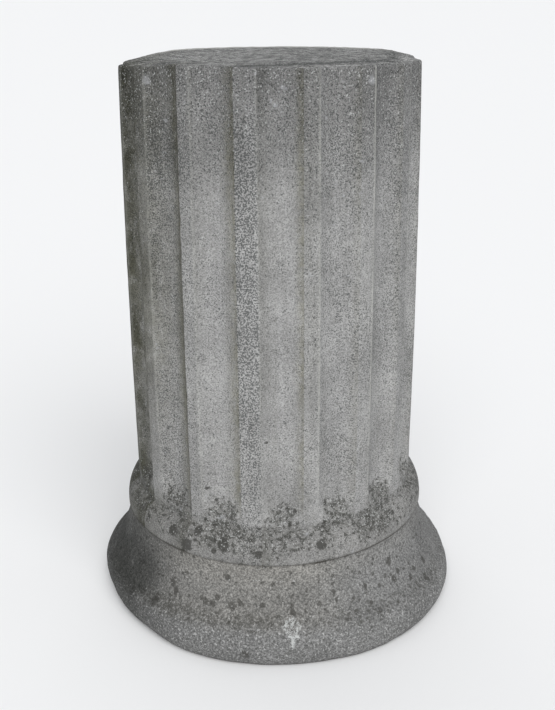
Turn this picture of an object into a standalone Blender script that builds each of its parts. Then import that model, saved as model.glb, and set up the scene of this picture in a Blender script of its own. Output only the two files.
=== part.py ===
"""Fluted column stub: a short weathered stone shaft with sixteen flutes, standing on a spreading round base.

Metres, +Z up. The origin is the centre of the base's underside. Azimuths are measured from the front, which
looks along -Y, and grow towards +X.
"""
import math

import bmesh
import bpy

# Shaft, heights measured from its underside
SHAFT_HEIGHT = 0.7803
SHAFT_FOOT_RADIUS = 0.250
SHAFT_TOP_RADIUS = 0.2415
SHAFT_SWELL = 0.0030          # how far the middle stands proud of a straight taper
TOP_ARRIS_RADIUS = 0.0040     # the worn rounding of the upper edge

# Roll moulding at the foot of the shaft, part of an upright ellipse
ROLL_REACH = 0.0225           # how far the roll stands out from the shaft
ROLL_HALF_HEIGHT = 0.042
ROLL_UPPER_ANGLE = math.radians(62)     # where the roll hands over to the hollow above it
ROLL_LOWER_ANGLE = math.radians(-4)     # where the bed joint cuts the roll
HOLLOW_HEIGHT = 0.0105        # small hollow between the roll and the plain shaft

# Flutes
FLUTE_COUNT = 16
FILLET_WIDTH = 0.0295         # flat strip between two flutes, at the foot
FLUTE_DEPTH = 0.0155          # from the shaft's outer circle to the floor of a flute
FLUTE_FOOT_RISE = 0.0170      # from the top of the hollow to the lowest point of a flute's round end
FLUTE_TURN = math.radians(2.15)         # azimuth of the first flute's middle

# Worn shoulders of the upper edge: azimuth, drop at the rim, reach inward from the rim
WORN_SHOULDERS = (
    {"azimuth": math.radians(82), "drop": 0.0075, "reach": 0.050},
    {"azimuth": math.radians(24), "drop": 0.0035, "reach": 0.070},
    {"azimuth": math.radians(-85), "drop": 0.0105, "reach": 0.0815},
)

# Base, heights measured from the ground
BASE_HEIGHT = 0.162
NECK_SETBACK = 0.0040         # how far the base's top edge lies inside the edge of the roll above it
FLARE_POWER = 1.75            # 1 is a straight cone, more is a deeper hollow
LIP_PROJECTION = 0.0575       # from the neck to the crest of the lip
LIP_REACH = 0.026             # from the middle of the lip's ellipse to its crest
LIP_HALF_HEIGHT = 0.031
LIP_UPPER_ANGLE = math.radians(72)      # where the flare runs into the lip
LIP_LOWER_ANGLE = math.radians(-54)     # where the ground cuts the lip

JOINT_GAP = 0.0003            # bed joint between base and shaft

# Fineness of the turned surfaces
STEPS_PER_FLUTE = 6
BASE_STEPS = 96
FLUTE_SIDES = 34
SHAFT_STATIONS = 6
ARRIS_FACETS = 2
ROLL_FACETS = 6
BALL_FACETS = 7
FLARE_FACETS = 7
LIP_FACETS = 7
SHARP_ANGLE = math.radians(32)

COLUMN_NAME = "Fluted column stub"
CUTTERS_NAME = "Cutters"
MERGE_DISTANCE = 0.00001
CUTTER_OVERLAP = 0.02         # how far a cutter runs past the face that it leaves through

STONE_COLOURS = {
    "shaft": (0.262, 0.262, 0.254, 1.0),
    "base": (0.232, 0.230, 0.220, 1.0),
}
STONE_ROUGHNESS = 0.92


def clear_scene():
    for item in list(bpy.data.objects):
        bpy.data.objects.remove(item, do_unlink=True)


def new_collection(name):
    collection = bpy.data.collections.new(name)
    bpy.context.scene.collection.children.link(collection)
    return collection


def stone_material(name, colour):
    material = bpy.data.materials.new(name)
    material.use_nodes = True
    shader = material.node_tree.nodes["Principled BSDF"]
    shader.inputs["Base Color"].default_value = colour
    shader.inputs["Roughness"].default_value = STONE_ROUGHNESS
    shader.inputs["Metallic"].default_value = 0.0
    material.diffuse_color = colour
    return material


def turned(name, profile, steps, collection):
    """Object turned round Z from a profile of (radius, height) that runs from top to bottom."""
    mesh = bpy.data.meshes.new(name)
    points = [(radius, 0.0, height) for radius, height in profile]
    edges = [(i, i + 1) for i in range(len(points) - 1)]
    mesh.from_pydata(points, edges, [])
    piece = bpy.data.objects.new(name, mesh)
    collection.objects.link(piece)
    screw = piece.modifiers.new("Turn", "SCREW")
    screw.axis = "Z"
    screw.angle = 2 * math.pi
    screw.steps = steps
    screw.render_steps = steps
    screw.use_merge_vertices = True
    screw.merge_threshold = MERGE_DISTANCE
    return piece


def ellipse_arc(centre, reach, half_height, start, end, count):
    """Points of an ellipse's outer side, from one angle above its middle to another."""
    radius, height = centre
    angles = [start + (end - start) * i / count for i in range(count + 1)]
    return [(radius + reach * math.cos(a), height + half_height * math.sin(a)) for a in angles]


def roll_arc():
    """The roll moulding, from the hollow above it down to the bed joint."""
    centre = (SHAFT_FOOT_RADIUS, -ROLL_HALF_HEIGHT * math.sin(ROLL_LOWER_ANGLE))
    return ellipse_arc(centre, ROLL_REACH, ROLL_HALF_HEIGHT, ROLL_UPPER_ANGLE, ROLL_LOWER_ANGLE, ROLL_FACETS)


def hollow_top():
    """Height at which the hollow over the roll ends and the plain shaft begins."""
    return roll_arc()[0][1] + HOLLOW_HEIGHT


def shaft_radius(height):
    """Outer radius of the plain shaft: a straight taper with a slight swell."""
    share = (height - hollow_top()) / (SHAFT_HEIGHT - hollow_top())
    taper = SHAFT_FOOT_RADIUS + (SHAFT_TOP_RADIUS - SHAFT_FOOT_RADIUS) * share
    return taper + SHAFT_SWELL * 4 * share * (1 - share)


def shaft_profile():
    """Flat top, worn arris, swelling shaft, the hollow above the roll, the roll and the bed face."""
    arris_centre = (SHAFT_TOP_RADIUS - TOP_ARRIS_RADIUS, SHAFT_HEIGHT - TOP_ARRIS_RADIUS)
    arris = ellipse_arc(arris_centre, TOP_ARRIS_RADIUS, TOP_ARRIS_RADIUS, math.pi / 2, 0.0, ARRIS_FACETS)

    upper = SHAFT_HEIGHT - TOP_ARRIS_RADIUS
    drop = upper - hollow_top()
    heights = [upper - drop * i / SHAFT_STATIONS for i in range(1, SHAFT_STATIONS + 1)]
    sides = [(shaft_radius(height), height) for height in heights]

    roll = roll_arc()
    spread = roll[0][0] - SHAFT_FOOT_RADIUS
    shares = (1 / 3, 2 / 3)
    hollow = [(SHAFT_FOOT_RADIUS + spread * s ** 2, hollow_top() - HOLLOW_HEIGHT * s) for s in shares]

    return [(0.0, SHAFT_HEIGHT)] + arris + sides + hollow + roll + [(0.0, 0.0)]


def flute_section(height):
    """Half width of a flute and the distance of its two arrises' chord from the column's axis."""
    radius = shaft_radius(height)
    fillet_angle = FILLET_WIDTH / SHAFT_FOOT_RADIUS
    half_angle = math.pi / FLUTE_COUNT - fillet_angle / 2
    return radius * math.sin(half_angle), radius * math.cos(half_angle)


def flute_axis_distance(height):
    """Distance from the column's axis of the circle that hollows a flute to its full depth."""
    half_width, chord = flute_section(height)
    scale = shaft_radius(height) / SHAFT_FOOT_RADIUS
    sagitta = FLUTE_DEPTH * scale - (shaft_radius(height) - chord)
    return chord + (half_width ** 2 - sagitta ** 2) / (2 * sagitta)


def flute_cutters(collection):
    """Slightly leaning bars, one a flute, with a ball end where the flute stops above the roll."""
    lowest = hollow_top() + FLUTE_FOOT_RISE
    start = lowest + flute_section(lowest)[0]
    foot_distance = flute_axis_distance(start)
    top_distance = flute_axis_distance(SHAFT_HEIGHT)
    lean = math.atan2(top_distance - foot_distance, SHAFT_HEIGHT - start)

    def bar_radius(height):
        half_width, chord = flute_section(height)
        axis = foot_distance + math.tan(lean) * (height - start)
        return math.hypot(half_width, axis - chord)

    end = SHAFT_HEIGHT + CUTTER_OVERLAP
    heights = [end - (end - start) * i / SHAFT_STATIONS for i in range(SHAFT_STATIONS + 1)]
    bar = [(bar_radius(height), height - start) for height in heights]
    ball_radius = bar_radius(start)
    ball = ellipse_arc((0.0, 0.0), ball_radius, ball_radius, 0.0, -math.pi / 2, BALL_FACETS)
    profile = [(0.0, end - start)] + bar + ball[1:-1] + [(0.0, -ball_radius)]

    for i in range(FLUTE_COUNT):
        azimuth = FLUTE_TURN + 2 * math.pi * i / FLUTE_COUNT
        bearing = azimuth - math.pi / 2
        cutter = turned(f"flute cutter {i + 1:02d}", profile, FLUTE_SIDES, collection)
        cutter.location = (
            foot_distance * math.cos(bearing),
            foot_distance * math.sin(bearing),
            BASE_HEIGHT + JOINT_GAP + start,
        )
        cutter.rotation_euler = (0.0, lean, bearing)


def shoulder_cutters(collection):
    """Tilted blocks whose undersides are the worn slopes of the upper edge."""
    top = BASE_HEIGHT + JOINT_GAP + SHAFT_HEIGHT
    side = 4 * SHAFT_TOP_RADIUS
    for i, worn in enumerate(WORN_SHOULDERS):
        mesh = bpy.data.meshes.new(f"shoulder cutter {i + 1}")
        block = bmesh.new()
        bmesh.ops.create_cube(block, size=side)
        bmesh.ops.translate(block, verts=block.verts, vec=(0.0, 0.0, side / 2))
        block.to_mesh(mesh)
        block.free()
        cutter = bpy.data.objects.new(mesh.name, mesh)
        collection.objects.link(cutter)
        bearing = worn["azimuth"] - math.pi / 2
        hinge = SHAFT_TOP_RADIUS - worn["reach"]
        cutter.location = (hinge * math.cos(bearing), hinge * math.sin(bearing), top)
        slope = math.atan2(worn["drop"], worn["reach"])
        cutter.rotation_euler = (0.0, slope, bearing)


def cut_away(piece, cutters):
    """Cut every object of a collection out of a piece."""
    for cutter in cutters.objects:
        cutter.hide_render = True
        cutter.display_type = "WIRE"
    cut = piece.modifiers.new("Cut", "BOOLEAN")
    cut.operation = "DIFFERENCE"
    cut.operand_type = "COLLECTION"
    cut.collection = cutters
    cut.solver = "EXACT"


def settle(piece, material):
    """Make the modified shape the piece's own mesh, shaded smooth between its arrises."""
    bpy.context.view_layer.update()
    shaped = piece.evaluated_get(bpy.context.evaluated_depsgraph_get())
    mesh = bpy.data.meshes.new_from_object(shaped)
    piece.modifiers.clear()
    piece.data = mesh
    mesh.materials.clear()
    mesh.materials.append(material)
    mesh.shade_smooth()
    mesh.set_sharp_from_angle(angle=SHARP_ANGLE)


def build_shaft(column, cutters):
    steps = FLUTE_COUNT * STEPS_PER_FLUTE
    shaft = turned("shaft", shaft_profile(), steps, column)
    shaft.location = (0.0, 0.0, BASE_HEIGHT + JOINT_GAP)
    shaft.rotation_euler = (0.0, 0.0, FLUTE_TURN - math.pi / 2)
    flute_cutters(cutters)
    shoulder_cutters(cutters)
    cut_away(shaft, cutters)
    settle(shaft, stone_material("shaft stone", STONE_COLOURS["shaft"]))


def base_profile():
    """Bed face, hollow flare, and a rounded lip that is cut flat at the ground."""
    neck = roll_arc()[-1][0] - NECK_SETBACK
    centre = (neck + LIP_PROJECTION - LIP_REACH, -LIP_HALF_HEIGHT * math.sin(LIP_LOWER_ANGLE))
    lip = ellipse_arc(centre, LIP_REACH, LIP_HALF_HEIGHT, LIP_UPPER_ANGLE, LIP_LOWER_ANGLE, LIP_FACETS)

    drop = BASE_HEIGHT - lip[0][1]
    spread = lip[0][0] - neck
    shares = [i / FLARE_FACETS for i in range(FLARE_FACETS)]
    flare = [(neck + spread * s ** FLARE_POWER, BASE_HEIGHT - drop * s) for s in shares]
    return [(0.0, BASE_HEIGHT)] + flare + lip + [(0.0, 0.0)]


def build_base(column):
    base = turned("base", base_profile(), BASE_STEPS, column)
    settle(base, stone_material("base stone", STONE_COLOURS["base"]))


def main():
    clear_scene()
    column = new_collection(COLUMN_NAME)
    cutters = new_collection(CUTTERS_NAME)
    build_base(column)
    build_shaft(column, cutters)


main()
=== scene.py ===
import math

import bpy
import numpy as np
from mathutils import Matrix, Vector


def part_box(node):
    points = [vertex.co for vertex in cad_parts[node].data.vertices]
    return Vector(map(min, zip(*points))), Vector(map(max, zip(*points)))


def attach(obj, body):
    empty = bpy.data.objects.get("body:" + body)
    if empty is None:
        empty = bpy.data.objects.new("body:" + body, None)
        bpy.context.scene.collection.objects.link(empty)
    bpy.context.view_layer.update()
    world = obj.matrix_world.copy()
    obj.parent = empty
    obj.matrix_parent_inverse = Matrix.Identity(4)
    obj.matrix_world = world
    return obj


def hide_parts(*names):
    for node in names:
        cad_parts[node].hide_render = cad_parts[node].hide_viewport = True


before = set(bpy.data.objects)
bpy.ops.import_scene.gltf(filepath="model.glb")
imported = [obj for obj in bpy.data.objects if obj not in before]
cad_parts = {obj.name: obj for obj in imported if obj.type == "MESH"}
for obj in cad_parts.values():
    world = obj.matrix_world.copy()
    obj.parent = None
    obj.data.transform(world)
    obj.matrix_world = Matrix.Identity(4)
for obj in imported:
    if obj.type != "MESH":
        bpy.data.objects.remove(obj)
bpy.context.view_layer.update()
shaftLow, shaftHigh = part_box("shaft")
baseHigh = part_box("base")[1]
print("frame loaded:", sorted(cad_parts))


# Values that every surface uses. Azimuths run from the front, which looks along -Y, towards +X.
grid = {
    "flutes": 16,
    "fluteTurn": math.radians(2.15),   # azimuth of the first flute's middle
    "filletWidth": 0.0295,             # flat strip between two flutes, at the foot
    "footRadius": 0.250,
}


def smoothStep(low, high, value):  # 0 below low, 1 above high, an S curve between them
    share = np.clip((value - low) / (high - low), 0.0, 1.0)
    return share * share * (3 - 2 * share)


def softMin(a, b, width):  # the smaller of two values, with a round of this width where they meet
    gap = np.clip(0.5 + 0.5 * (b - a) / width, 0.0, 1.0)
    return b + (a - b) * gap - width * gap * (1 - gap)


def bump(value, middle, width):  # a bell curve, 1 at its middle
    return np.exp(-((value - middle) / width) ** 2)


# Random numbers on the corners of cubes of this size, blended smoothly between them: -1 to 1.
# The cubes stand askew, so that their faces draw no level or upright lines.
def latticeNoise(place, size, seed):
    side = 32
    table = np.random.default_rng(seed).uniform(-1, 1, (side, side, side))
    x, y, z = place
    askew = (0.64 * x + 0.48 * y + 0.6 * z, -0.6 * x + 0.8 * y, -0.48 * x - 0.36 * y + 0.8 * z)
    cells = [axis / size + 0.37 * seed for axis in askew]
    low = [np.floor(cell).astype(int) for cell in cells]
    part = [cell - floor for cell, floor in zip(cells, low)]
    ease = [p * p * (3 - 2 * p) for p in part]
    total = 0.0
    for corner in np.ndindex(2, 2, 2):
        weight = 1.0
        for axis in range(3):
            weight = weight * (ease[axis] if corner[axis] else 1 - ease[axis])
        index = [(low[axis] + corner[axis]) % side for axis in range(3)]
        total = total + weight * table[index[0], index[1], index[2]]
    return total


def roughness(place, size, seed, octaves=3):  # noise in ever finer and weaker layers
    layers = [latticeNoise(place, size / 2 ** k, seed + k) / 1.8 ** k for k in range(octaves)]
    return sum(layers)


def onCircle(azimuth, radius, height):
    return radius * np.sin(azimuth), -radius * np.cos(azimuth), height


# A closed skin from rows that run from the top's middle, down the outside, to the underside's middle
def closedSkin(name, radius, height, azimuth, marks):
    rows, columns = radius.shape
    x, y, z = onCircle(azimuth[None, :], radius, height)
    ring = np.stack([x, y, z], -1).reshape(-1, 3)
    poles = np.array([[0, 0, height[0].mean()], [0, 0, height[-1].mean()]])
    points = np.vstack([ring, poles])
    top, bottom = rows * columns, rows * columns + 1
    here = np.arange(rows * columns).reshape(rows, columns)
    right = np.roll(here, -1, 1)
    quads = np.stack([here[:-1], here[1:], right[1:], right[:-1]], -1).reshape(-1, 4)
    lid = np.stack([np.full(columns, top), here[0], right[0]], -1)
    sole = np.stack([np.full(columns, bottom), right[-1], here[-1]], -1)
    corners = np.concatenate([quads.ravel(), lid.ravel(), sole.ravel()])
    sizes = np.concatenate([np.full(len(quads), 4), np.full(2 * columns, 3)])
    starts = np.concatenate([[0], np.cumsum(sizes)[:-1]])
    mesh = bpy.data.meshes.new(name)
    mesh.vertices.add(len(points))
    mesh.vertices.foreach_set("co", points.astype(np.float32).ravel())
    mesh.loops.add(len(corners))
    mesh.loops.foreach_set("vertex_index", corners.astype(np.int32))
    mesh.polygons.add(len(sizes))
    mesh.polygons.foreach_set("loop_start", starts.astype(np.int32))
    mesh.update(calc_edges=True)
    mesh.validate()
    mesh.shade_smooth()
    for mark, values in marks.items():
        full = np.broadcast_to(values, (rows, columns)).ravel()
        full = np.concatenate([full, [full[:columns].mean(), full[-columns:].mean()]])
        layer = mesh.attributes.new(mark, "FLOAT", "POINT")
        layer.data.foreach_set("value", full.astype(np.float32))
    piece = bpy.data.objects.new(name, mesh)
    bpy.context.scene.collection.objects.link(piece)
    return piece


shaft = {
    "topRadius": 0.2415,
    "swell": 0.0030,
    "rollReach": 0.0225,
    "rollHalfHeight": 0.042,
    "rollUpper": math.radians(62),
    "rollLower": math.radians(-4),
    "hollowHeight": 0.0105,
    "fluteDepth": 0.0155,
    "fluteFootRise": 0.0170,
    "arris": 0.0035,           # rounding of the upper edge
    "fluteArris": 0.0016,      # rounding between flute and fillet
    "bedEdge": 0.0006,         # rounding at the bed joint
    "rimFilled": 0.85,         # share of the flutes' depth that is worn away at the far rim
    "rimZone": (0.034, 0.006),   # below the top, where that begins and where it is complete
    "farSide": (180, 124),     # middle and half width of that rim
    "footZone": 0.046,         # height above the hollow that gets close rows, for the flutes' round feet
    # depths of the small wear: the nicks are in the flutes' edges, the chips in the rim
    "waves": 0.0005,
    "dents": 0.0003,
    "nicks": 0.0022,
    "chips": 0.0008,
    "topHollows": 0.0006,
    # worn shoulders: azimuth, drop at the rim, reach inward, softness of the slope's start
    "shoulders": ((82.0, 0.0075, 0.050, 0.008), (24.0, 0.0035, 0.070, 0.006),
                  (-85.0, 0.0105, 0.0815, 0.008)),
    # the flutes' edges are cut unevenly: azimuth, and how far an edge there is turned, in degrees
    "uneven": ((-180, 0), (-150, 0.6), (-118, -0.5), (-85, 0.3), (-57.5, 0.8), (-50.7, 1.0), (-35.0, 1.6),
               (-28.2, 0.2), (-12.5, 0), (-5.7, 1.35), (10.0, 1.0), (16.8, 0.3), (32.5, 0), (62, -0.4),
               (93, 0.6), (125, -0.6), (158, 0.4), (180, 0)),
    # dark spots: azimuth, height, radius
    "spots": ((-32.5, 0.015, 0.014), (-18.0, 0.030, 0.013), (17.0, 0.029, 0.01), (-5.5, 0.020, 0.008),
              (-26.5, 0.117, 0.005), (-2.5, 0.211, 0.0045), (-39.5, 0.029, 0.011), (-29.0, 0.040, 0.008),
              (-21.5, 0.017, 0.006), (-34.0, 0.000, 0.006)),
    # pale scars on the crown and beside it
    "scars": ((-49.0, 0.756, 0.01), (2.0, 0.728, 0.007), (37.0, 0.757, 0.011), (-42.0, 0.700, 0.006),
              (29.0, 0.712, 0.006)),
    "rows": {"top": 26, "arris": 5, "side": 72, "foot": 20, "hollow": 6, "roll": 16},
}


def fluteHalfAngle():
    return math.pi / grid["flutes"] - grid["filletWidth"] / grid["footRadius"] / 2


def turnFrom(azimuth, middle):  # how far an azimuth lies from this one, the short way round
    return np.angle(np.exp(1j * (azimuth - math.radians(middle))))


def rollCentre():
    return -shaft["rollHalfHeight"] * math.sin(shaft["rollLower"])


def hollowTop():
    return rollCentre() + shaft["rollHalfHeight"] * math.sin(shaft["rollUpper"]) + shaft["hollowHeight"]


def shaftHeight():
    return shaftHigh.z - shaftLow.z


# Taper with a swell above the hollow, a parabola through the hollow, an upright ellipse at the roll
def shaftOutline(height):
    share = (height - hollowTop()) / (shaftHeight() - hollowTop())
    plain = grid["footRadius"] + (shaft["topRadius"] - grid["footRadius"]) * share
    plain = plain + shaft["swell"] * 4 * share * (1 - share)
    crest = hollowTop() - shaft["hollowHeight"]
    spread = shaft["rollReach"] * math.cos(shaft["rollUpper"])
    hollow = grid["footRadius"] + spread * ((hollowTop() - height) / shaft["hollowHeight"]) ** 2
    sine = np.clip((height - rollCentre()) / shaft["rollHalfHeight"], -1, 1)
    roll = grid["footRadius"] + shaft["rollReach"] * np.sqrt(1 - sine * sine)
    return np.where(height > hollowTop(), plain, np.where(height > crest, hollow, roll))


# How far a ray from the column's axis goes before it meets the round bar that hollows a flute
def fluteFloor(offset, height):
    halfAngle = fluteHalfAngle()
    lowest = hollowTop() + shaft["fluteFootRise"]
    start = lowest + grid["footRadius"] * math.sin(halfAngle)
    at = np.maximum(height, start)
    radius = shaftOutline(at)
    halfWidth, chord = radius * math.sin(halfAngle), radius * math.cos(halfAngle)
    sagitta = shaft["fluteDepth"] * radius / grid["footRadius"] - (radius - chord)
    away = (halfWidth ** 2 - sagitta ** 2) / (2 * sagitta)
    below = np.minimum(height - start, 0.0)      # the bar's end is a ball
    bar = np.maximum(halfWidth ** 2 + away ** 2 - below ** 2, 0.0)
    axis = chord + away
    inside = bar - (axis * np.sin(offset)) ** 2
    reach = axis * np.cos(offset) - np.sqrt(np.maximum(inside, 0.0))
    return np.where(inside > 0, reach, 1.0)


# Azimuths that repeat with the flutes, close together at the flutes' edges
def fluteAzimuths():
    halfAngle = fluteHalfAngle()
    edge = math.radians(0.75)
    end = math.pi / grid["flutes"]
    half = np.concatenate([
        np.linspace(0, halfAngle - edge, 12)[:-1],
        np.linspace(halfAngle - edge, halfAngle + edge, 6)[:-1],
        np.linspace(halfAngle + edge, end, 5),
    ])
    offsets = np.concatenate([-half[:0:-1], half[:-1]])
    turns = np.arange(grid["flutes"]) * 2 * math.pi / grid["flutes"]
    azimuth = (turns[:, None] + offsets[None, :]).ravel() + grid["fluteTurn"]
    places, shifts = zip(*shaft["uneven"])
    turned = np.degrees(turnFrom(azimuth, 0))
    return azimuth + np.radians(np.interp(turned, places, shifts)), np.tile(offsets, grid["flutes"])


def shoulderWear(x, y):  # depth lost to the worn shoulders at a place on the top
    lost = 0.0
    for azimuth, drop, reach, soft in shaft["shoulders"]:
        angle = math.radians(azimuth)
        along = x * math.sin(angle) - y * math.cos(angle) - (shaft["topRadius"] - reach)
        lost = lost + drop / reach * (along + np.sqrt(along ** 2 + soft ** 2)) / 2
    return lost


# The flutes are counted from the front towards +X. Each long row has one number for each of them.
stains = {
    # olive stains along the right edges, and their widths in degrees
    "strength": (0.75, 0.25, 0.15, 0.1, 0.3, 0.5, 0.35, 0.6, 0.4, 0.55, 0.7, 0.8, 0.9, 0.9, 1.0, 0.8),
    "width": (1.8, 2.0, 2.0, 2.0, 2.5, 3.0, 2.5, 3.0, 3.0, 3.0, 3.5, 4.0, 5.0, 6.0, 5.0, 3.4),
    # dark growth along the same edges, partly painted shade on the right walls of the shaded flutes
    "edgeGrowthAndShade": (0, 0, 0, 0, 0, 0.1, 0.05, 0.2, 0.1, 0.2, 0.25, 0.3, 0.4, 0.4, 0.42, 0.0),
    # darkening inside the left edges
    "leftEdgeDarkening": (0.30, 0, 0.05, 0, 0.1, 0.05, 0.1, 0, 0.1, 0.05, 0, 0.1, 0.05, 0.1, 0.05, 0.14),
    # how speckled each flute is, and the fillet on its right
    "fluteSpecks": (0.15, 0.42, 0.5, 0.5, 0.4, 0.5, 0.6, 0.4, 0.5, 0.4, 0.5, 0.6, 0.5, 0.45, 0.62, 0.25),
    "filletSpecks": (0.28, 0.4, 0.5, 0.5, 0.6, 0.5, 0.4, 0.6, 0.5, 0.4, 0.5, 0.5, 0.4, 0.3, 0.50, 0.92),
    # dark growth on the fillets
    "filletDirt": (0.22, 0.08, 0.05, 0, 0.1, 0.05, 0, 0.1, 0, 0.05, 0.1, 0.1, 0.1, 0.1, 0.05, 0),
    # dark lines in the flutes' right edges, partly stain and partly painted shade, pale ones on their left
    # edges
    "edgeLinesAndShade": (0.35, 0.15, 0.1, 0.1, 0.1, 0.2, 0.1, 0.3, 0.2, 0.3, 0.3, 0.4, 0.5, 0.6, 0.95, 0.3),
    "palePlaces": (0.2, 0.9, 1.0, 1.0, 0.5, 0.3, 0.5, 0.2, 0.4, 0.3, 0.4, 0.2, 0.2, 0.3, 0.3, 0.3),
    # dark growth with painted shade, and an olive film, on the shaded side: middle, half width, strength
    "shadedSideGrowthAndShade": (-86, 41, 0.83),
    "shadedOlive": (-76, 36, 0.32),
    "joint": (-12, 22, 0.65),   # where the joint is closed in front
    # widths in degrees: dark lines with painted shade, pale edges, darkening inside the left edges, lichen
    # at a flute's foot
    "lineWidth": 0.42,
    "paleWidth": 0.45,
    "leftWidth": 4.0,
    "footWidth": 6.5,
    "coarseFrom": 0.58,         # fillets with more specks than this have coarser ones
    "crownDepth": 0.13,         # how far down the darker crown reaches
}


def perFlute(name, number):
    return np.array(stains[name])[number]


# How deep a place lies inside the nearest of some round marks: 1 in its middle, 0 at its rim, less outside
def insideMarks(azimuth, radius, height, marks):
    depth = np.full(height.shape, -1.0)
    for degrees, level, size in marks:
        turn = turnFrom(azimuth[None, :], degrees)
        depth = np.maximum(depth, 1 - np.hypot(turn * radius, height - level) / size)
    return depth


def shadeSide(azimuth, middle, width):  # 1 on the side that faces this azimuth, fading to 0 round it
    return np.exp(-(np.abs(turnFrom(azimuth, middle)) / math.radians(width)) ** 4)


def seamStrength(azimuth):  # the joint's dark line, with painted shade where the joint is open at the sides; closed and fainter in front
    place = onCircle(azimuth, grid["footRadius"], 0 * azimuth)
    middle, width, most = stains["joint"]
    closed = shadeSide(azimuth, middle, width) * most
    return np.clip((1 - closed) * (0.85 + 0.5 * roughness(place, 0.03, 401, 2)), 0.1, 1)[None, :]


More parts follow.
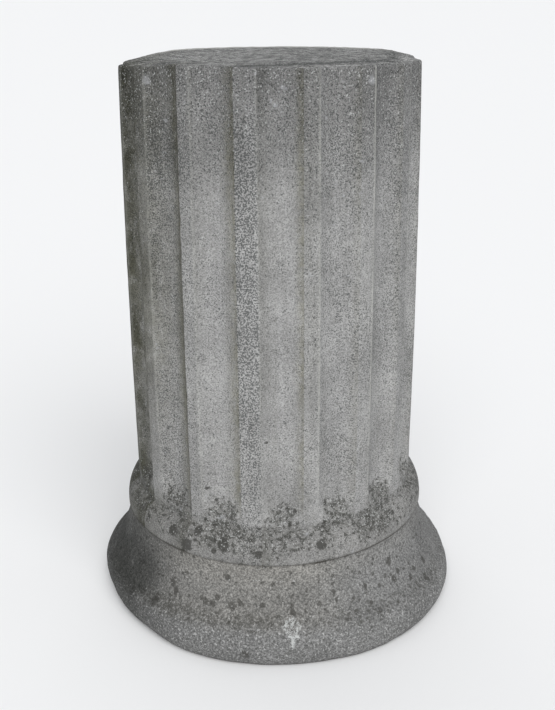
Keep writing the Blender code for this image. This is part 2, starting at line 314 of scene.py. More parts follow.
def shaftMarks(azimuth, offset, radius, height, onTop):
    place = onCircle(azimuth[None, :], radius, height)
    number = np.round((azimuth - grid["fluteTurn"] - offset) / (2 * math.pi / grid["flutes"])).astype(int)
    number = number % grid["flutes"]
    nextFillet = np.where(offset < 0, number - 1, number) % grid["flutes"]
    halfAngle = fluteHalfAngle()
    inFlute = np.abs(offset) < halfAngle
    degrees = np.degrees(offset)
    edge = math.degrees(halfAngle)
    wander = latticeNoise(place, 0.06, 201)
    low = hollowTop() + shaft["fluteFootRise"]
    depth = shaftHeight() - height
    side = 1 - onTop

    strength = perFlute("strength", number)
    width = perFlute("width", number)
    nearTop = smoothStep(0.30, 0.05, depth)
    strip = np.exp(-((degrees - edge) / width) ** 2) * (inFlute | (degrees < edge + 0.4)) * (offset > 0)
    olive = strength * strip * smoothStep(low, low + 0.05, height)
    olive = olive * (0.85 + 0.35 * wander) * (1 + 0.5 * nearTop)
    middle, width, most = stains["shadedOlive"]
    shaded = shadeSide(azimuth, middle, width)[None, :] * smoothStep(0.04, 0.40, height)
    olive = np.maximum(olive, most * shaded)

    # dark growth on the shaded side, partly painted shade
    middle, width, most = stains["shadedSideGrowthAndShade"]
    growthAndShade = most * shadeSide(azimuth, middle, width)[None, :] * (0.85 + 0.3 * wander)
    growthAndShade = growthAndShade * (1 - 0.15 * smoothStep(low, low - 0.03, height))
    # growth along the flutes' right edges, partly painted shade on the shaded flutes' right walls
    growthAndShade = growthAndShade + perFlute("edgeGrowthAndShade", number) * strip
    growthAndShade = growthAndShade + np.where(inFlute, 0, perFlute("filletDirt", nextFillet)) * (height > low)
    leftStrip = np.exp(-(np.abs(degrees + edge) / stains["leftWidth"]) ** 2) * inFlute * (1 + 0.4 * wander)
    # darker inside the flutes' left edges
    growthAndShade = growthAndShade + perFlute("leftEdgeDarkening", number) * leftStrip + 0.14 * strength * strip * nearTop
    cleaner = smoothStep(0.36, 0.16, height) * smoothStep(low - 0.01, low + 0.02, height)
    cleaner = cleaner * smoothStep(-1.12, -1.0, turnFrom(azimuth, 0))[None, :]
    growthAndShade = growthAndShade * (1 - 0.75 * cleaner)

    # dark lines in the flutes' right edges, partly painted shade
    line = perFlute("edgeLinesAndShade", number) * np.exp(-((degrees - edge + 0.1) / stains["lineWidth"]) ** 2)
    line = line * smoothStep(low - 0.012, low, height) * (0.8 + 0.4 * wander)
    pale = perFlute("palePlaces", number) * np.exp(-((degrees + edge + 0.15) / stains["paleWidth"]) ** 2)
    pale = pale * (0.6 + 0.5 * wander) * smoothStep(low + 0.01, low + 0.05, height)

    filletSpecks = perFlute("filletSpecks", nextFillet)
    specks = np.where(inFlute, perFlute("fluteSpecks", number), filletSpecks)
    cells = (1 - inFlute) * (filletSpecks > stains["coarseFrom"]) * side
    cells = cells * smoothStep(low - 0.01, low + 0.02, height) * smoothStep(0.03, 0.12, depth)
    patchy = 1 + 0.5 * roughness(place, 0.06, 211, 2) * (specks < 0.8)
    specks = specks * patchy * smoothStep(0.02, 0.14, depth) + 0.5 * smoothStep(0.22, 0.04, depth)
    specks = specks * (1 - 0.3 * smoothStep(low + 0.16, low + 0.02, height))

    # painted shade: the thin dark line where the flat of the top ends, along its front and right
    ledgeShade = bump(shoulderWear(place[0], place[1]), 0.0010, 0.0007)
    ledgeShade = ledgeShade * smoothStep(0.10, -0.02, place[1] - place[0])

    rimShare = radius / shaft["topRadius"]
    olive = olive * side
    growthAndShade = growthAndShade * (side + onTop * smoothStep(0.55, 1.0, rimShare))
    line = line * side
    pale = pale * side
    specks = specks * side + 0.8 * onTop
    # painted sunlight: a pale strip along the top's far rim
    farRim = 0.9 * onTop * smoothStep(0.82, 0.92, rimShare)
    farRim = farRim * smoothStep(0.05, 0.15, place[1]) * (0.7 + 0.6 * wander)

    foot = np.exp(-(degrees / stains["footWidth"]) ** 4) * bump(height, low + 0.009, 0.018)
    rollBand = (0.3 + 0.7 * smoothStep(0.010, 0.026, height)) * smoothStep(low + 0.002, low - 0.016, height)
    lichen = 1.2 * foot * (1 + 0.3 * wander) + 0.72 * rollBand * (0.9 + 0.6 * wander)
    crown = np.exp(-(np.maximum(depth, 0) / stains["crownDepth"]) ** 1.3) * (1 + 0.2 * wander)
    grime = smoothStep(low + 0.006, low - 0.022, height)
    grime = grime + 0.28 * smoothStep(0.30, 0.12, height) * (height > low)
    return {
        "olive": np.clip(olive, 0, 1),
        "growthAndShade": np.clip(growthAndShade, 0, 1),
        "specks": np.clip(specks, 0, 1),
        "cells": cells,
        "pale": np.clip(pale + farRim, 0, 1),
        "line": np.clip(line, 0, 1),
        "lichen": np.clip(lichen, 0, 1),
        "crown": np.clip(crown, 0, 1),
        "onTop": onTop,
        "ledgeShade": onTop * ledgeShade,
        # the joint's dark line, partly painted shade where the joint is open
        "seamAndShade": seamStrength(azimuth) * smoothStep(0.0042, 0.0012, height),
        "grime": grime,
        "spot": insideMarks(azimuth, radius, height, shaft["spots"]),
        "scar": insideMarks(azimuth, radius, height, shaft["scars"]),
    }


def makeShaft():
    azimuth, offset = fluteAzimuths()
    count = shaft["rows"]
    tall = shaftHeight()
    foot = hollowTop() + shaft["footZone"]

    def sideRadius(height):  # outline, flutes, soft arrises, weathering
        place = onCircle(azimuth[None, :], shaftOutline(height), height)
        wander = roughness(place, 0.07, 11, 2)
        edge = shaft["fluteArris"] * (1.2 + 0.5 * wander)
        cut = softMin(shaftOutline(height), fluteFloor(offset[None, :], height), np.maximum(edge, 0.0006))
        start, complete = shaft["rimZone"]
        farRim = shadeSide(azimuth, *shaft["farSide"])[None, :]
        farRim = farRim * smoothStep(tall - start, tall - complete, height)
        cut = cut + (shaftOutline(height) - cut) * shaft["rimFilled"] * farRim
        weather = shaft["waves"] * wander + shaft["dents"] * latticeNoise(place, 0.035, 31)
        nick = smoothStep(0.5, 0.95, latticeNoise(place, 0.016, 47))
        nick = nick * bump(np.abs(offset), fluteHalfAngle(), 0.012)
        return cut - np.abs(weather) - shaft["nicks"] * nick

    rim = sideRadius(np.full((1, len(azimuth)), tall - shaft["arris"]))
    rimX, rimY, _ = onCircle(azimuth, shaft["topRadius"], 0)
    chipped = shaft["chips"] * np.abs(roughness((rimX, rimY, 0 * rimX), 0.03, 61, 3))
    lost = shoulderWear(rimX, rimY) + chipped
    edge = shaft["arris"] * (1 + 0.3 * latticeNoise((rimX, rimY, 0 * rimX), 0.05, 71))

    share = 1 - np.linspace(1, 0, count["top"]) ** 1.3
    share = 0.03 + 0.96 * share[:, None]
    topRadius = share * (rim - edge)
    topX, topY, _ = onCircle(azimuth[None, :], share * shaft["topRadius"], 0)
    hollows = shaft["topHollows"] * np.abs(roughness((topX * 0.4, topY, 0 * topX), 0.02, 81, 3))
    topHeight = tall - (shoulderWear(topX, topY) + hollows * (1 - share ** 8) + share ** 8 * chipped)

    turn = np.linspace(math.pi / 2, 0, count["arris"])[:, None]
    arrisHeight = tall - lost - edge + edge * np.sin(turn)
    arrisRadius = rim - edge * (1 - np.cos(turn))

    sideShare = np.linspace(1, 0, count["side"] + 1)[1:, None]
    sideHeight = foot + (tall - lost - edge - foot) * sideShare
    footHeight = np.linspace(foot, hollowTop(), count["foot"] + 1)[1:, None]
    crest = hollowTop() - shaft["hollowHeight"]
    hollowHeight = np.linspace(hollowTop(), crest, count["hollow"] + 1)[1:, None]
    angles = np.linspace(shaft["rollUpper"], shaft["rollLower"], count["roll"] + 1)[1:-1, None]
    rollHeight = rollCentre() + shaft["rollHalfHeight"] * np.sin(angles)
    lowHeight = np.concatenate([footHeight, hollowHeight, rollHeight]) + 0 * azimuth[None, :]
    below = np.concatenate([sideHeight, lowHeight])
    belowRadius = sideRadius(below)

    bedTurn = np.linspace(0, math.pi / 2, 4)[1:, None]
    joint = roughness(onCircle(azimuth, grid["footRadius"], 0 * azimuth), 0.02, 91, 3)
    bedEdge = shaft["bedEdge"] * (1.2 + 0.8 * joint)
    bedRadius = belowRadius[-1:] - bedEdge * (1 - np.cos(bedTurn))
    bedHeight = bedEdge * (1 - np.sin(bedTurn))
    innerRadius = bedRadius[-1:] * np.array([[0.97], [0.5], [0.03]])
    innerHeight = 0 * innerRadius

    radius = np.concatenate([topRadius, arrisRadius, belowRadius, bedRadius, innerRadius])
    height = np.concatenate([topHeight, arrisHeight, below, bedHeight, innerHeight])
    onTop = (np.arange(len(radius)) < count["top"])[:, None] * np.ones_like(radius)
    marks = shaftMarks(azimuth, offset, radius, height, onTop)
    return closedSkin("fluted_shaft", radius, height + shaftLow.z, azimuth, marks)


base = {
    "neckSetback": 0.0040,
    "flarePower": 1.75,
    "lipProjection": 0.0575,
    "lipReach": 0.026,
    "lipHalfHeight": 0.031,
    "lipUpper": math.radians(72),
    "lipLower": math.radians(-54),
    "creaseRise": 0.0185,     # how much higher the crease over the lip lies at the front
    "bedEdge": 0.0007,        # rounding at the bed joint
    # where the stone is fuller or worn: middle, half width, depth
    "fuller": (50, 32, 0.0090),
    "worn": (-58, 24, 0.0080),
    "flush": (-10, 30, 0.0032),
    "waves": 0.0012,
    "dents": 0.0005,
    "clearance": 0.0004,      # the lip stays this far inside the solid's box
    # dark growth with painted shade on the left side, and a trace of growth on the right: middle, half
    # width, strength
    "growthAndShade": ((-79, 36, 1.02), (75, 32, 0.10)),
    # middle and half width of the front, where the crease is darker and where the stone is warmer
    "darkCrease": (-20, 24),
    "warm": (-12, 36),
    "creaseWidth": 0.013,
    # dark spots: azimuth, height, radius
    "spots": ((-42.5, 0.065, 0.011), (-37.5, 0.101, 0.01), (-35.5, 0.091, 0.009), (-16.5, 0.135, 0.008),
              (-23.5, 0.090, 0.008), (-21.0, 0.089, 0.008), (-19.5, 0.100, 0.008), (-14.0, 0.090, 0.01),
              (-11.5, 0.097, 0.008), (-4.0, 0.095, 0.007), (15.0, 0.093, 0.006), (45.5, 0.118, 0.01),
              (45.0, 0.091, 0.008), (52.5, 0.079, 0.0065), (63.5, 0.081, 0.008), (59.5, 0.062, 0.008),
              (38.0, 0.094, 0.0055), (32.5, 0.101, 0.0055), (20.5, 0.106, 0.0055), (21.0, 0.094, 0.005),
              (6.0, 0.084, 0.008), (-0.5, 0.127, 0.006), (48.0, 0.098, 0.0065), (56.0, 0.085, 0.0065),
              (-8.5, 0.026, 0.01), (33.0, 0.077, 0.005)),
    # the white crust low in front, as a row of round crumbs: azimuth, height, radius
    "crust": ((3.5, 0.069, 0.008), (5.5, 0.072, 0.008), (7.0, 0.066, 0.008), (6.5, 0.059, 0.008),
              (4.5, 0.061, 0.007), (5.5, 0.050, 0.008), (5.5, 0.040, 0.0065)),
    "columns": 640,
    "rows": {"flare": 46, "lip": 40},
}


def baseMarks(azimuth, radius, height, creaseHeight):
    place = onCircle(azimuth[None, :], radius, height)
    wander = latticeNoise(place, 0.07, 301)
    # dark growth, partly painted shade on the left side
    sides = sum(most * shadeSide(azimuth, middle, width) for middle, width, most in base["growthAndShade"])
    growthAndShade = sides[None, :] * (0.9 + 0.22 * wander)
    cleaner = 0.30 * smoothStep(0.085, 0.145, height) + 0.28 * smoothStep(0.065, 0.025, height)
    growthAndShade = growthAndShade * (1 - cleaner)
    crease = bump(height, creaseHeight[None, :], base["creaseWidth"]) * (0.75 + 0.6 * wander)
    crease = crease * (0.75 + 0.5 * shadeSide(azimuth, *base["darkCrease"]))[None, :]
    apron = smoothStep(0.004, -0.02, height - creaseHeight[None, :])
    return {
        "growthAndShade": np.clip(growthAndShade, 0, 1),
        "lichen": np.clip(0.9 * crease, 0, 1),
        "specks": 0.35 + 0.25 * apron + 0 * height,
        "apron": apron,
        "crust": insideMarks(azimuth, radius, height, base["crust"]),
        "warm": shadeSide(azimuth, *base["warm"])[None, :] * (1 - apron),
        "neck": smoothStep(0.055, 0.005, baseHigh.z - height),
        # the joint's dark line, partly painted shade where the joint is open
        "seamAndShade": seamStrength(azimuth) * smoothStep(baseHigh.z - 0.0036, baseHigh.z - 0.0012, height),
        "spot": insideMarks(azimuth, radius, height, base["spots"]),
        # painted contact shadow along the ground line
        "foot": smoothStep(0.008, 0.0005, height),
    }


def makeBase():
    azimuth = np.linspace(0, 2 * math.pi, base["columns"], endpoint=False)
    tall = baseHigh.z
    neck = grid["footRadius"] + shaft["rollReach"] * math.cos(shaft["rollLower"]) - base["neckSetback"]
    crest = neck + base["lipProjection"]
    middle = crest - base["lipReach"]
    middleHeight = -base["lipHalfHeight"] * math.sin(base["lipLower"])
    plainRadius = middle + base["lipReach"] * math.cos(base["lipUpper"])
    plainHeight = middleHeight + base["lipHalfHeight"] * math.sin(base["lipUpper"])

    front = np.clip(np.cos(azimuth), 0, 1) ** 1.5
    creaseHeight = plainHeight + base["creaseRise"] * front
    spread = (plainRadius - neck) / (tall - plainHeight) ** base["flarePower"]
    creaseRadius = neck + spread * (tall - creaseHeight) ** base["flarePower"]

    # the flare: a power curve from the neck down to the crease
    share = np.linspace(0, 1, base["rows"]["flare"] + 1)[:, None]
    flareHeight = tall - (tall - creaseHeight) * share
    flareRadius = neck + spread * (tall - flareHeight) ** base["flarePower"]

    # the lip: an ellipse from the crease to its crest, and another from the crest to the ground
    sine, cosine = math.sin(base["lipUpper"]), math.cos(base["lipUpper"])
    upperMiddle = (creaseRadius - crest * cosine) / (1 - cosine)
    upperHalf = (creaseHeight - middleHeight) / sine
    turn = np.linspace(base["lipUpper"], base["lipLower"], base["rows"]["lip"] + 1)[1:, None]
    upper = turn > 0
    lipRadius = np.where(upper, upperMiddle + (crest - upperMiddle) * np.cos(turn),
                         middle + base["lipReach"] * np.cos(turn))
    lipHeight = middleHeight + np.where(upper, upperHalf, base["lipHalfHeight"]) * np.sin(turn)

    radius = np.concatenate([flareRadius, lipRadius])
    height = np.concatenate([flareHeight, lipHeight])

    def change(name):  # the fuller and worn places, round the base
        middle, width, most = base[name]
        return most * shadeSide(azimuth, middle, width)[None, :]

    radius = radius + change("fuller") * smoothStep(0.120, 0.060, height)
    radius = radius - change("worn") * smoothStep(0.070, 0.025, height)
    radius = radius + change("flush") * smoothStep(tall - 0.045, tall, height)
    limit = (baseHigh.x - base["clearance"]) / np.maximum(np.abs(np.sin(azimuth)), np.abs(np.cos(azimuth)))
    radius = np.minimum(radius, limit[None, :])
    place = onCircle(azimuth[None, :], radius, height)
    waves, dents = roughness(place, 0.07, 111, 3), roughness(place, 0.014, 131, 2)
    weather = base["waves"] * waves + base["dents"] * dents
    radius = radius - np.abs(weather)

    edge = base["bedEdge"] * (1.2 + 0.8 * roughness(onCircle(azimuth, neck, 0 * azimuth), 0.02, 151, 3))
    bedTurn = np.linspace(math.pi / 2, 0, 4)[:-1, None]
    bedRadius = radius[:1] - edge * (1 - np.cos(bedTurn))
    bedHeight = tall - edge * (1 - np.sin(bedTurn))
    height[0] = tall - edge
    height[1] = np.minimum(height[1], height[0] - 0.0006)
    lid = bedRadius[:1] * np.array([[0.03], [0.5], [0.97]])
    sole = radius[-1:] * np.array([[0.985], [0.5], [0.03]])
    radius = np.concatenate([lid, bedRadius, radius, sole])
    height = np.concatenate([0 * lid + tall, bedHeight, height, 0 * sole])
    marks = baseMarks(azimuth, radius, height, creaseHeight)
    return closedSkin("moulded_base", radius, height, azimuth, marks)


# Short ways to write shader nodes. An input is a number, a colour or another node's output.
def node(tree, kind, inputs, output=0, **settings):
    made = tree.nodes.new("ShaderNode" + kind)
    for key, value in settings.items():
        setattr(made, key, value)
    for socket, value in inputs.items():
        if isinstance(value, bpy.types.NodeSocket):
            tree.links.new(value, made.inputs[socket])
        else:
            made.inputs[socket].default_value = value
    return made.outputs[output]


def calc(tree, operation, a, b):
    return node(tree, "Math", {0: a, 1: b}, operation=operation)


def times(tree, a, b):
    return calc(tree, "MULTIPLY", a, b)


def plus(tree, a, b):
    return calc(tree, "ADD", a, b)


def minus(tree, a, b):
    return calc(tree, "SUBTRACT", a, b)


def larger(tree, a, b):
    return calc(tree, "MAXIMUM", a, b)


def ramp(tree, value, low, high, start=0.0, end=1.0):
    sockets = {"Value": value, "From Min": low, "From Max": high, "To Min": start, "To Max": end}
    return node(tree, "MapRange", sockets, interpolation_type="SMOOTHSTEP")


def mix(tree, share, first, second, how="MIX"):
    sockets = {0: share, 6: first, 7: second}
    return node(tree, "Mix", sockets, output=2, data_type="RGBA", blend_type=how)


def tint(tree, share, colour, by):  # the colour multiplied by another, as far as the share says
    return mix(tree, share, colour, mix(tree, 1.0, colour, by, "MULTIPLY"))


def mark(tree, name):  # a value that the surface's own points carry
    return node(tree, "Attribute", {}, output="Fac", attribute_name=name)


def shifted(tree, place, shift, squash=1.0):
    sockets = {"Vector": place, "Location": (shift, -shift, 0.5 * shift), "Scale": (1, 1, squash)}
    return node(tree, "Mapping", sockets)


def noise(tree, place, size, detail=2.0, rough=0.5):  # size in metres
    sockets = {"Vector": place, "Scale": 1 / size, "Detail": detail, "Roughness": rough}
    return node(tree, "TexNoise", sockets)


def noiseAt(tree, place, shift, size, detail, rough):  # the noise seen from elsewhere, for another pattern
    return noise(tree, shifted(tree, place, shift), size, detail, rough)


def spots(tree, place, size, share, radius):  # round spots, one in some cells of this size
    cells = tree.nodes.new("ShaderNodeTexVoronoi")
    cells.inputs["Scale"].default_value = 1 / size
    wobble = node(tree, "TexNoise", {"Vector": place, "Scale": 3 / size, "Detail": 2.0}, output=1)
    reach = 0.6 * size
    bent = node(tree, "VectorMath", {0: wobble, 1: (reach, reach, reach)}, operation="MULTIPLY")
    moved = node(tree, "VectorMath", {0: place, 1: bent}, operation="ADD")
    tree.links.new(moved, cells.inputs["Vector"])
    number = node(tree, "SeparateColor", {0: cells.outputs["Color"]})
    chosen = ramp(tree, number, 1 - share, 1 - share + 0.1)
    disc = ramp(tree, cells.outputs["Distance"], radius * 0.6, radius, 1.0, 0.0)
    return times(tree, disc, chosen)


stone = {
    "roughness": 0.9,
    "specular": 0.25,
    "bumpStrength": 0.5,
    "shaftRelief": 0.0008,     # in metres
    "baseRelief": 0.0012,
    "speckRelief": 0.8,        # how deep the dark specks lie, against the grain
}


def newStone(name):
    material = bpy.data.materials.new(name)
    material.use_nodes = True
    tree = material.node_tree
    shader = tree.nodes["Principled BSDF"]
    shader.inputs["Roughness"].default_value = stone["roughness"]
    shader.inputs["Specular IOR Level"].default_value = stone["specular"]
    place = node(tree, "TexCoord", {}, output="Object")
    return material, tree, shader, place


def finishStone(tree, shader, colour, relief, depth):
    tree.links.new(colour, shader.inputs["Base Color"])
    normal = node(tree, "Bump", {"Strength": stone["bumpStrength"], "Distance": depth, "Height": relief})
    tree.links.new(normal, shader.inputs["Normal"])


shaftColours = {
    "grainDark": (0.264, 0.262, 0.259, 1),
    "grainPale": (0.450, 0.447, 0.441, 1),
    # the next ones multiply the stone's colour
    "cloudDark": (0.86, 0.86, 0.86, 1),
    "cloudPale": (1.1, 1.1, 1.1, 1),
    "runDark": (0.93, 0.93, 0.92, 1),
    "runPale": (1.05, 1.05, 1.05, 1),
    "crown": (0.49, 0.49, 0.49, 1),
    "topDark": (0.30, 0.30, 0.31, 1),
    "topPale": (2.56, 2.56, 2.53, 1),
    # growth, also carrying painted shade
    "growthAndShade": (0.25, 0.25, 0.195, 1),
    "olive": (0.81, 0.795, 0.68, 1),
    "grime": (0.79, 0.785, 0.775, 1),
    "lichen": (0.62, 0.62, 0.605, 1),
    "cluster": (0.50, 0.50, 0.48, 1),
    # the next ones cover it
    "speck": (0.066, 0.071, 0.069, 1),
    # painted shade along the edge of the top's flat
    "ledgeShade": (0.050, 0.052, 0.050, 1),
    "dot": (0.052, 0.052, 0.046, 1),
    "blob": (0.052, 0.051, 0.046, 1),
    "fleck": (0.52, 0.53, 0.52, 1),
    "blotch": (0.50, 0.51, 0.53, 1),
    # pale edges, and the painted sunlit strip on the top's far rim
    "pale": (0.54, 0.54, 0.50, 1),
    # the joint's dark line, partly painted shade; also the painted shade of the dark edge lines
    "seamAndShade": (0.045, 0.042, 0.034, 1),
}


def shaftStone():
    material, tree, shader, place = newStone("weathered shaft stone")
    crown, olive, growthAndShade = mark(tree, "crown"), mark(tree, "olive"), mark(tree, "growthAndShade")
    lichen, specks, pale = mark(tree, "lichen"), mark(tree, "specks"), mark(tree, "pale")

    # fine grain, soft clouds and faint runs down the stone
    grain = ramp(tree, noise(tree, place, 0.0023, 2.0, 0.6), 0.30, 0.70)
    colour = mix(tree, grain, shaftColours["grainDark"], shaftColours["grainPale"])
    cloud = ramp(tree, noiseAt(tree, place, 0.7, 0.08, 4.0, 0.6), 0.3, 0.7)
    clouds = mix(tree, cloud, shaftColours["cloudDark"], shaftColours["cloudPale"])
    colour = mix(tree, 1.0, colour, clouds, "MULTIPLY")
    run = ramp(tree, noise(tree, shifted(tree, place, 1.3, 0.05), 0.012, 3.0, 0.6), 0.3, 0.7)
    runs = mix(tree, run, shaftColours["runDark"], shaftColours["runPale"])
    colour = mix(tree, 1.0, colour, runs, "MULTIPLY")

    # dark specks, in loose groups, coarser where the cells mark says so; then the darker crown
    fine = noiseAt(tree, place, 2.1, 0.0021, 2.0, 0.6)
    group = times(tree, noiseAt(tree, place, 2.8, 0.014, 2.0, 0.6), 0.14)
    coarse = noiseAt(tree, place, 3.9, 0.0023, 1.0, 0.5)
    dark = mix(tree, mark(tree, "cells"), plus(tree, fine, group), plus(tree, coarse, 0.07))
    dark = plus(tree, dark, times(tree, specks, 0.14))
    dark = ramp(tree, dark, 0.670, 0.740)
    colour = mix(tree, times(tree, dark, 0.77), colour, shaftColours["speck"])
    colour = tint(tree, crown, colour, shaftColours["crown"])

    # the mottled top and the painted shade line where its flat ends
    sawn = ramp(tree, noiseAt(tree, place, 9.1, 0.018, 6.0, 0.85), 0.38, 0.62)
    sawn = mix(tree, sawn, shaftColours["topDark"], shaftColours["topPale"])
    colour = tint(tree, mark(tree, "onTop"), colour, sawn)
    colour = mix(tree, times(tree, mark(tree, "ledgeShade"), 0.9), colour, shaftColours["ledgeShade"])

    # blackish green growth with painted shade on the shaded side, broken by barer places, and the olive
    # stains
    uneven = noise(tree, shifted(tree, place, 3.2, 0.6), 0.026, 5.0, 0.72)
    patina = times(tree, growthAndShade, ramp(tree, uneven, 0.24, 0.56, 0.12, 1.15))
    colour = tint(tree, patina, colour, shaftColours["growthAndShade"])
    broken = ramp(tree, noiseAt(tree, place, 8.8, 0.012, 4.0, 0.7), 0.35, 0.62, 0.45, 1.3)
    olive = times(tree, olive, broken)
    colour = tint(tree, olive, colour, shaftColours["olive"])

    # grime low down, lichen as a film with clusters, dots and round blobs in it
    colour = tint(tree, mark(tree, "grime"), colour, shaftColours["grime"])
    colour = tint(tree, times(tree, lichen, 0.5), colour, shaftColours["lichen"])
    cluster = plus(tree, noiseAt(tree, place, 4.4, 0.010, 3.0, 0.65), times(tree, lichen, 0.22))
    cluster = ramp(tree, cluster, 0.58, 0.74)
    colour = tint(tree, times(tree, cluster, 0.6), colour, shaftColours["cluster"])
    dots = plus(tree, noiseAt(tree, place, 4.8, 0.0050, 2.5, 0.65), times(tree, cluster, 0.14))
    dots = times(tree, ramp(tree, dots, 0.60, 0.68), ramp(tree, lichen, 0.08, 0.3))
    colour = mix(tree, times(tree, dots, 0.75), colour, shaftColours["dot"])
    blob = times(tree, spots(tree, place, 0.015, 0.5, 0.30), ramp(tree, lichen, 0.15, 0.5))
    spot = plus(tree, mark(tree, "spot"), noiseAt(tree, place, 6.6, 0.004, 2.0, 0.6))
    blob = larger(tree, blob, ramp(tree, spot, 0.50, 0.85))
    colour = mix(tree, times(tree, blob, 0.85), colour, shaftColours["blob"])

    # white flecks, pale blotches and scars, pale edges and a painted sunlit strip on the top's far rim; the
    # joint and the dark edges last, both partly painted shade
    fleck = noiseAt(tree, place, 5.9, 0.0028, 1.5, 0.5)
    busy = larger(tree, times(tree, crown, 0.95), lichen)
    fleck = ramp(tree, plus(tree, fleck, times(tree, busy, 0.10)), 0.69, 0.76)
    colour = mix(tree, times(tree, fleck, 0.6), colour, shaftColours["fleck"])
    blotch = ramp(tree, noiseAt(tree, place, 7.3, 0.016, 3.0, 0.6), 0.66, 0.74)
    scar = plus(tree, mark(tree, "scar"), noiseAt(tree, place, 7.7, 0.0045, 4.0, 0.85))
    blotch = larger(tree, blotch, ramp(tree, scar, 0.62, 1.15))
    colour = mix(tree, times(tree, blotch, 0.35), colour, shaftColours["blotch"])
    # pale edges and the painted sunlit rim of the top
    colour = mix(tree, times(tree, pale, 0.65), colour, shaftColours["pale"])
    # the joint and the dark edge lines, both partly painted shade
    shade = larger(tree, mark(tree, "seamAndShade"), times(tree, mark(tree, "line"), 0.75))
    colour = mix(tree, shade, colour, shaftColours["seamAndShade"])

    relief = minus(tree, grain, times(tree, dark, stone["speckRelief"]))
    finishStone(tree, shader, colour, relief, stone["shaftRelief"])
    return material


baseColours = {
    "grainDark": (0.100, 0.100, 0.098, 1),
    "grainPale": (0.306, 0.305, 0.300, 1),
    # the next ones multiply the stone's colour
    "cloudDark": (0.84, 0.84, 0.84, 1),
    "cloudPale": (1.1, 1.1, 1.1, 1),
    "warm": (1.05, 1.03, 0.99, 1),
    "neck": (1.16, 1.15, 1.13, 1),
    # growth, also carrying painted shade on the left side
    "growthAndShade": (0.09, 0.095, 0.078, 1),
    # the next ones cover it
    "speck": (0.085, 0.086, 0.080, 1),
    "patch": (0.066, 0.064, 0.056, 1),
    "blob": (0.056, 0.054, 0.048, 1),
    "fleck": (0.52, 0.52, 0.51, 1),
    "crust": (0.47, 0.48, 0.47, 1),
    # the joint's dark line, partly painted shade; also the painted contact shadow at the ground
    "seamAndShade": (0.050, 0.045, 0.036, 1),
}


def baseStone():
    material, tree, shader, place = newStone("weathered base stone")
    growthAndShade, lichen, specks = mark(tree, "growthAndShade"), mark(tree, "lichen"), mark(tree, "specks")
    apron = mark(tree, "apron")

    # coarser grain than the shaft's, soft clouds, warmer in front and paler at the neck
    grain = ramp(tree, noise(tree, place, 0.0030, 2.5, 0.65), 0.28, 0.72)
    colour = mix(tree, grain, baseColours["grainDark"], baseColours["grainPale"])
    cloud = ramp(tree, noiseAt(tree, place, 0.9, 0.07, 4.0, 0.6), 0.3, 0.7)
    clouds = mix(tree, cloud, baseColours["cloudDark"], baseColours["cloudPale"])
    colour = mix(tree, 1.0, colour, clouds, "MULTIPLY")
    colour = tint(tree, mark(tree, "warm"), colour, baseColours["warm"])
    colour = tint(tree, mark(tree, "neck"), colour, baseColours["neck"])

    # dark specks
    dark = noiseAt(tree, place, 2.6, 0.0038, 1.5, 0.6)
    dark = ramp(tree, plus(tree, dark, times(tree, specks, 0.15)), 0.60, 0.70)
    colour = mix(tree, times(tree, dark, 0.55), colour, baseColours["speck"])

    # lichen in the crease, blobs of two sizes and the larger dark spots
    patch = plus(tree, noiseAt(tree, place, 4.9, 0.007, 4.0, 0.7), times(tree, lichen, 0.17))
    patch = ramp(tree, patch, 0.60, 0.70)
    colour = mix(tree, times(tree, patch, 0.6), colour, baseColours["patch"])
    small = spots(tree, place, 0.0115, 0.55, 0.33)
    blob = larger(tree, small, spots(tree, shifted(tree, place, 1.7), 0.026, 0.35, 0.19))
    blob = times(tree, blob, ramp(tree, apron, 0.2, 0.9, 0.9, 0.15))
    ragged = times(tree, noiseAt(tree, place, 6.6, 0.0055, 4.0, 0.75), 1.6)
    spot = ramp(tree, plus(tree, mark(tree, "spot"), ragged), 0.95, 1.30)
    blob = larger(tree, blob, spot)
    colour = mix(tree, times(tree, blob, 0.74), colour, baseColours["blob"])

    # blackish green growth, with painted shade on the left side
    patina = times(tree, growthAndShade, ramp(tree, noiseAt(tree, place, 3.7, 0.04, 4.0, 0.65), 0.05, 0.45))
    colour = tint(tree, patina, colour, baseColours["growthAndShade"])

    # white flecks, the white crust, the dark of the joint with its painted shade, and painted contact
    # shadow along the ground line
    fleck = noiseAt(tree, place, 6.1, 0.0038, 1.0, 0.5)
    fleck = ramp(tree, plus(tree, fleck, times(tree, apron, 0.07)), 0.68, 0.76)
    fleck = times(tree, fleck, ramp(tree, growthAndShade, 0.1, 0.9, 0.55, 0.22))
    colour = mix(tree, fleck, colour, baseColours["fleck"])
    crumbs = noiseAt(tree, place, 8.2, 0.006, 4.0, 0.85)
    crust = plus(tree, times(tree, mark(tree, "crust"), 0.22), crumbs)
    colour = mix(tree, ramp(tree, crust, 0.60, 0.68), colour, baseColours["crust"])
    # the joint, partly painted shade, and the painted contact shadow along the ground line
    shade = larger(tree, mark(tree, "seamAndShade"), times(tree, mark(tree, "foot"), 0.7))
    colour = mix(tree, shade, colour, baseColours["seamAndShade"])

    relief = minus(tree, grain, times(tree, dark, stone["speckRelief"]))
    finishStone(tree, shader, colour, relief, stone["baseRelief"])
    return material


shaftPiece = makeShaft()
shaftPiece.data.materials.append(shaftStone())
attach(shaftPiece, "root")
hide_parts("shaft")
print("shaft:", len(shaftPiece.data.polygons), "faces")

basePiece = makeBase()
basePiece.data.materials.append(baseStone())
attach(basePiece, "root")
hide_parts("base")
print("base:", len(basePiece.data.polygons), "faces")


view = {
    "focal": 947.4,                    # in pixels of the picture
    "pictureHeight": 710,
    "sensor": 36.0,
    "place": (0.0083, -1.5895, 1.0408),
    "down": math.radians(21.13),
    "roll": math.radians(0.45),        # the picture leans this much to the left
}


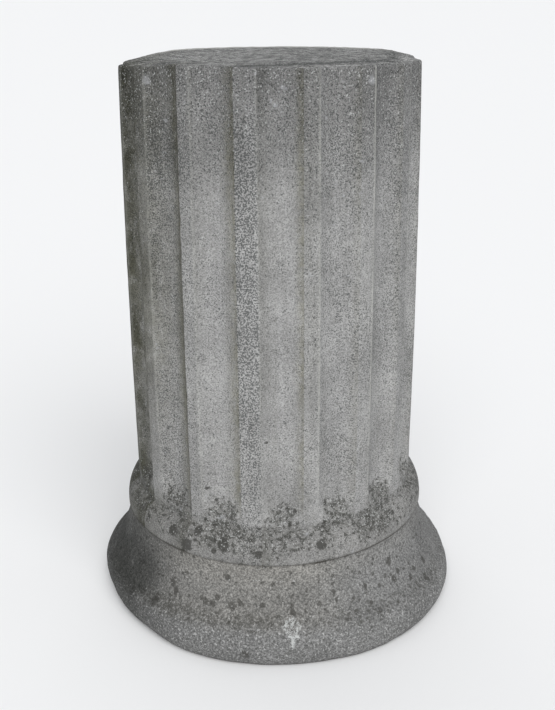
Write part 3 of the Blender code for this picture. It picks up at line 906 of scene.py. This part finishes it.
scenery = {
    "floorHalf": 150,
    "floorColour": (0.85, 0.85, 0.85, 1),
    "floorRoughness": 0.95,
    "skyColour": (0.95, 0.97, 1.0, 1),
    "skyStrength": 0.5,
    "sunSpread": math.radians(60),
    # name, azimuth and elevation in degrees, power
    "suns": (("main light", 12, 45, 2.22), ("back light", 190, 40, 0.5)),
}


def makeCamera():
    lens = bpy.data.cameras.new("camera")
    lens.sensor_width = view["sensor"]
    lens.lens = view["sensor"] * view["focal"] / view["pictureHeight"]
    camera = bpy.data.objects.new("camera", lens)
    tilt = Matrix.Rotation(math.pi / 2 - view["down"], 4, "X")
    roll = Matrix.Rotation(-view["roll"], 4, "Z")
    camera.matrix_world = Matrix.Translation(view["place"]) @ tilt @ roll
    bpy.context.scene.collection.objects.link(camera)
    bpy.context.scene.camera = camera


def softSun(name, azimuth, elevation, power):  # shines evenly, from a wide patch of the sky
    lamp = bpy.data.lights.new(name, "SUN")
    lamp.angle = scenery["sunSpread"]
    lamp.energy = power
    light = bpy.data.objects.new(name, lamp)
    light.rotation_euler = (math.radians(90 - elevation), 0, math.radians(azimuth))
    bpy.context.scene.collection.objects.link(light)


def makeFloor():
    mesh = bpy.data.meshes.new("floor")
    half = scenery["floorHalf"]
    corners = [(-half, -half, 0), (half, -half, 0), (half, half, 0), (-half, half, 0)]
    mesh.from_pydata(corners, [], [(0, 1, 2, 3)])
    floor = bpy.data.objects.new("floor", mesh)
    plain = bpy.data.materials.new("floor")
    plain.use_nodes = True
    shader = plain.node_tree.nodes["Principled BSDF"]
    shader.inputs["Base Color"].default_value = scenery["floorColour"]
    shader.inputs["Roughness"].default_value = scenery["floorRoughness"]
    floor.data.materials.append(plain)
    bpy.context.scene.collection.objects.link(floor)


def makeSky():
    world = bpy.data.worlds.new("sky")
    world.use_nodes = True
    background = world.node_tree.nodes["Background"]
    background.inputs["Color"].default_value = scenery["skyColour"]
    background.inputs["Strength"].default_value = scenery["skyStrength"]
    bpy.context.scene.world = world


makeCamera()
makeFloor()
makeSky()
for sunName, sunAzimuth, sunElevation, sunPower in scenery["suns"]:
    softSun(sunName, sunAzimuth, sunElevation, sunPower)
bpy.context.scene.view_settings.view_transform = "Standard"
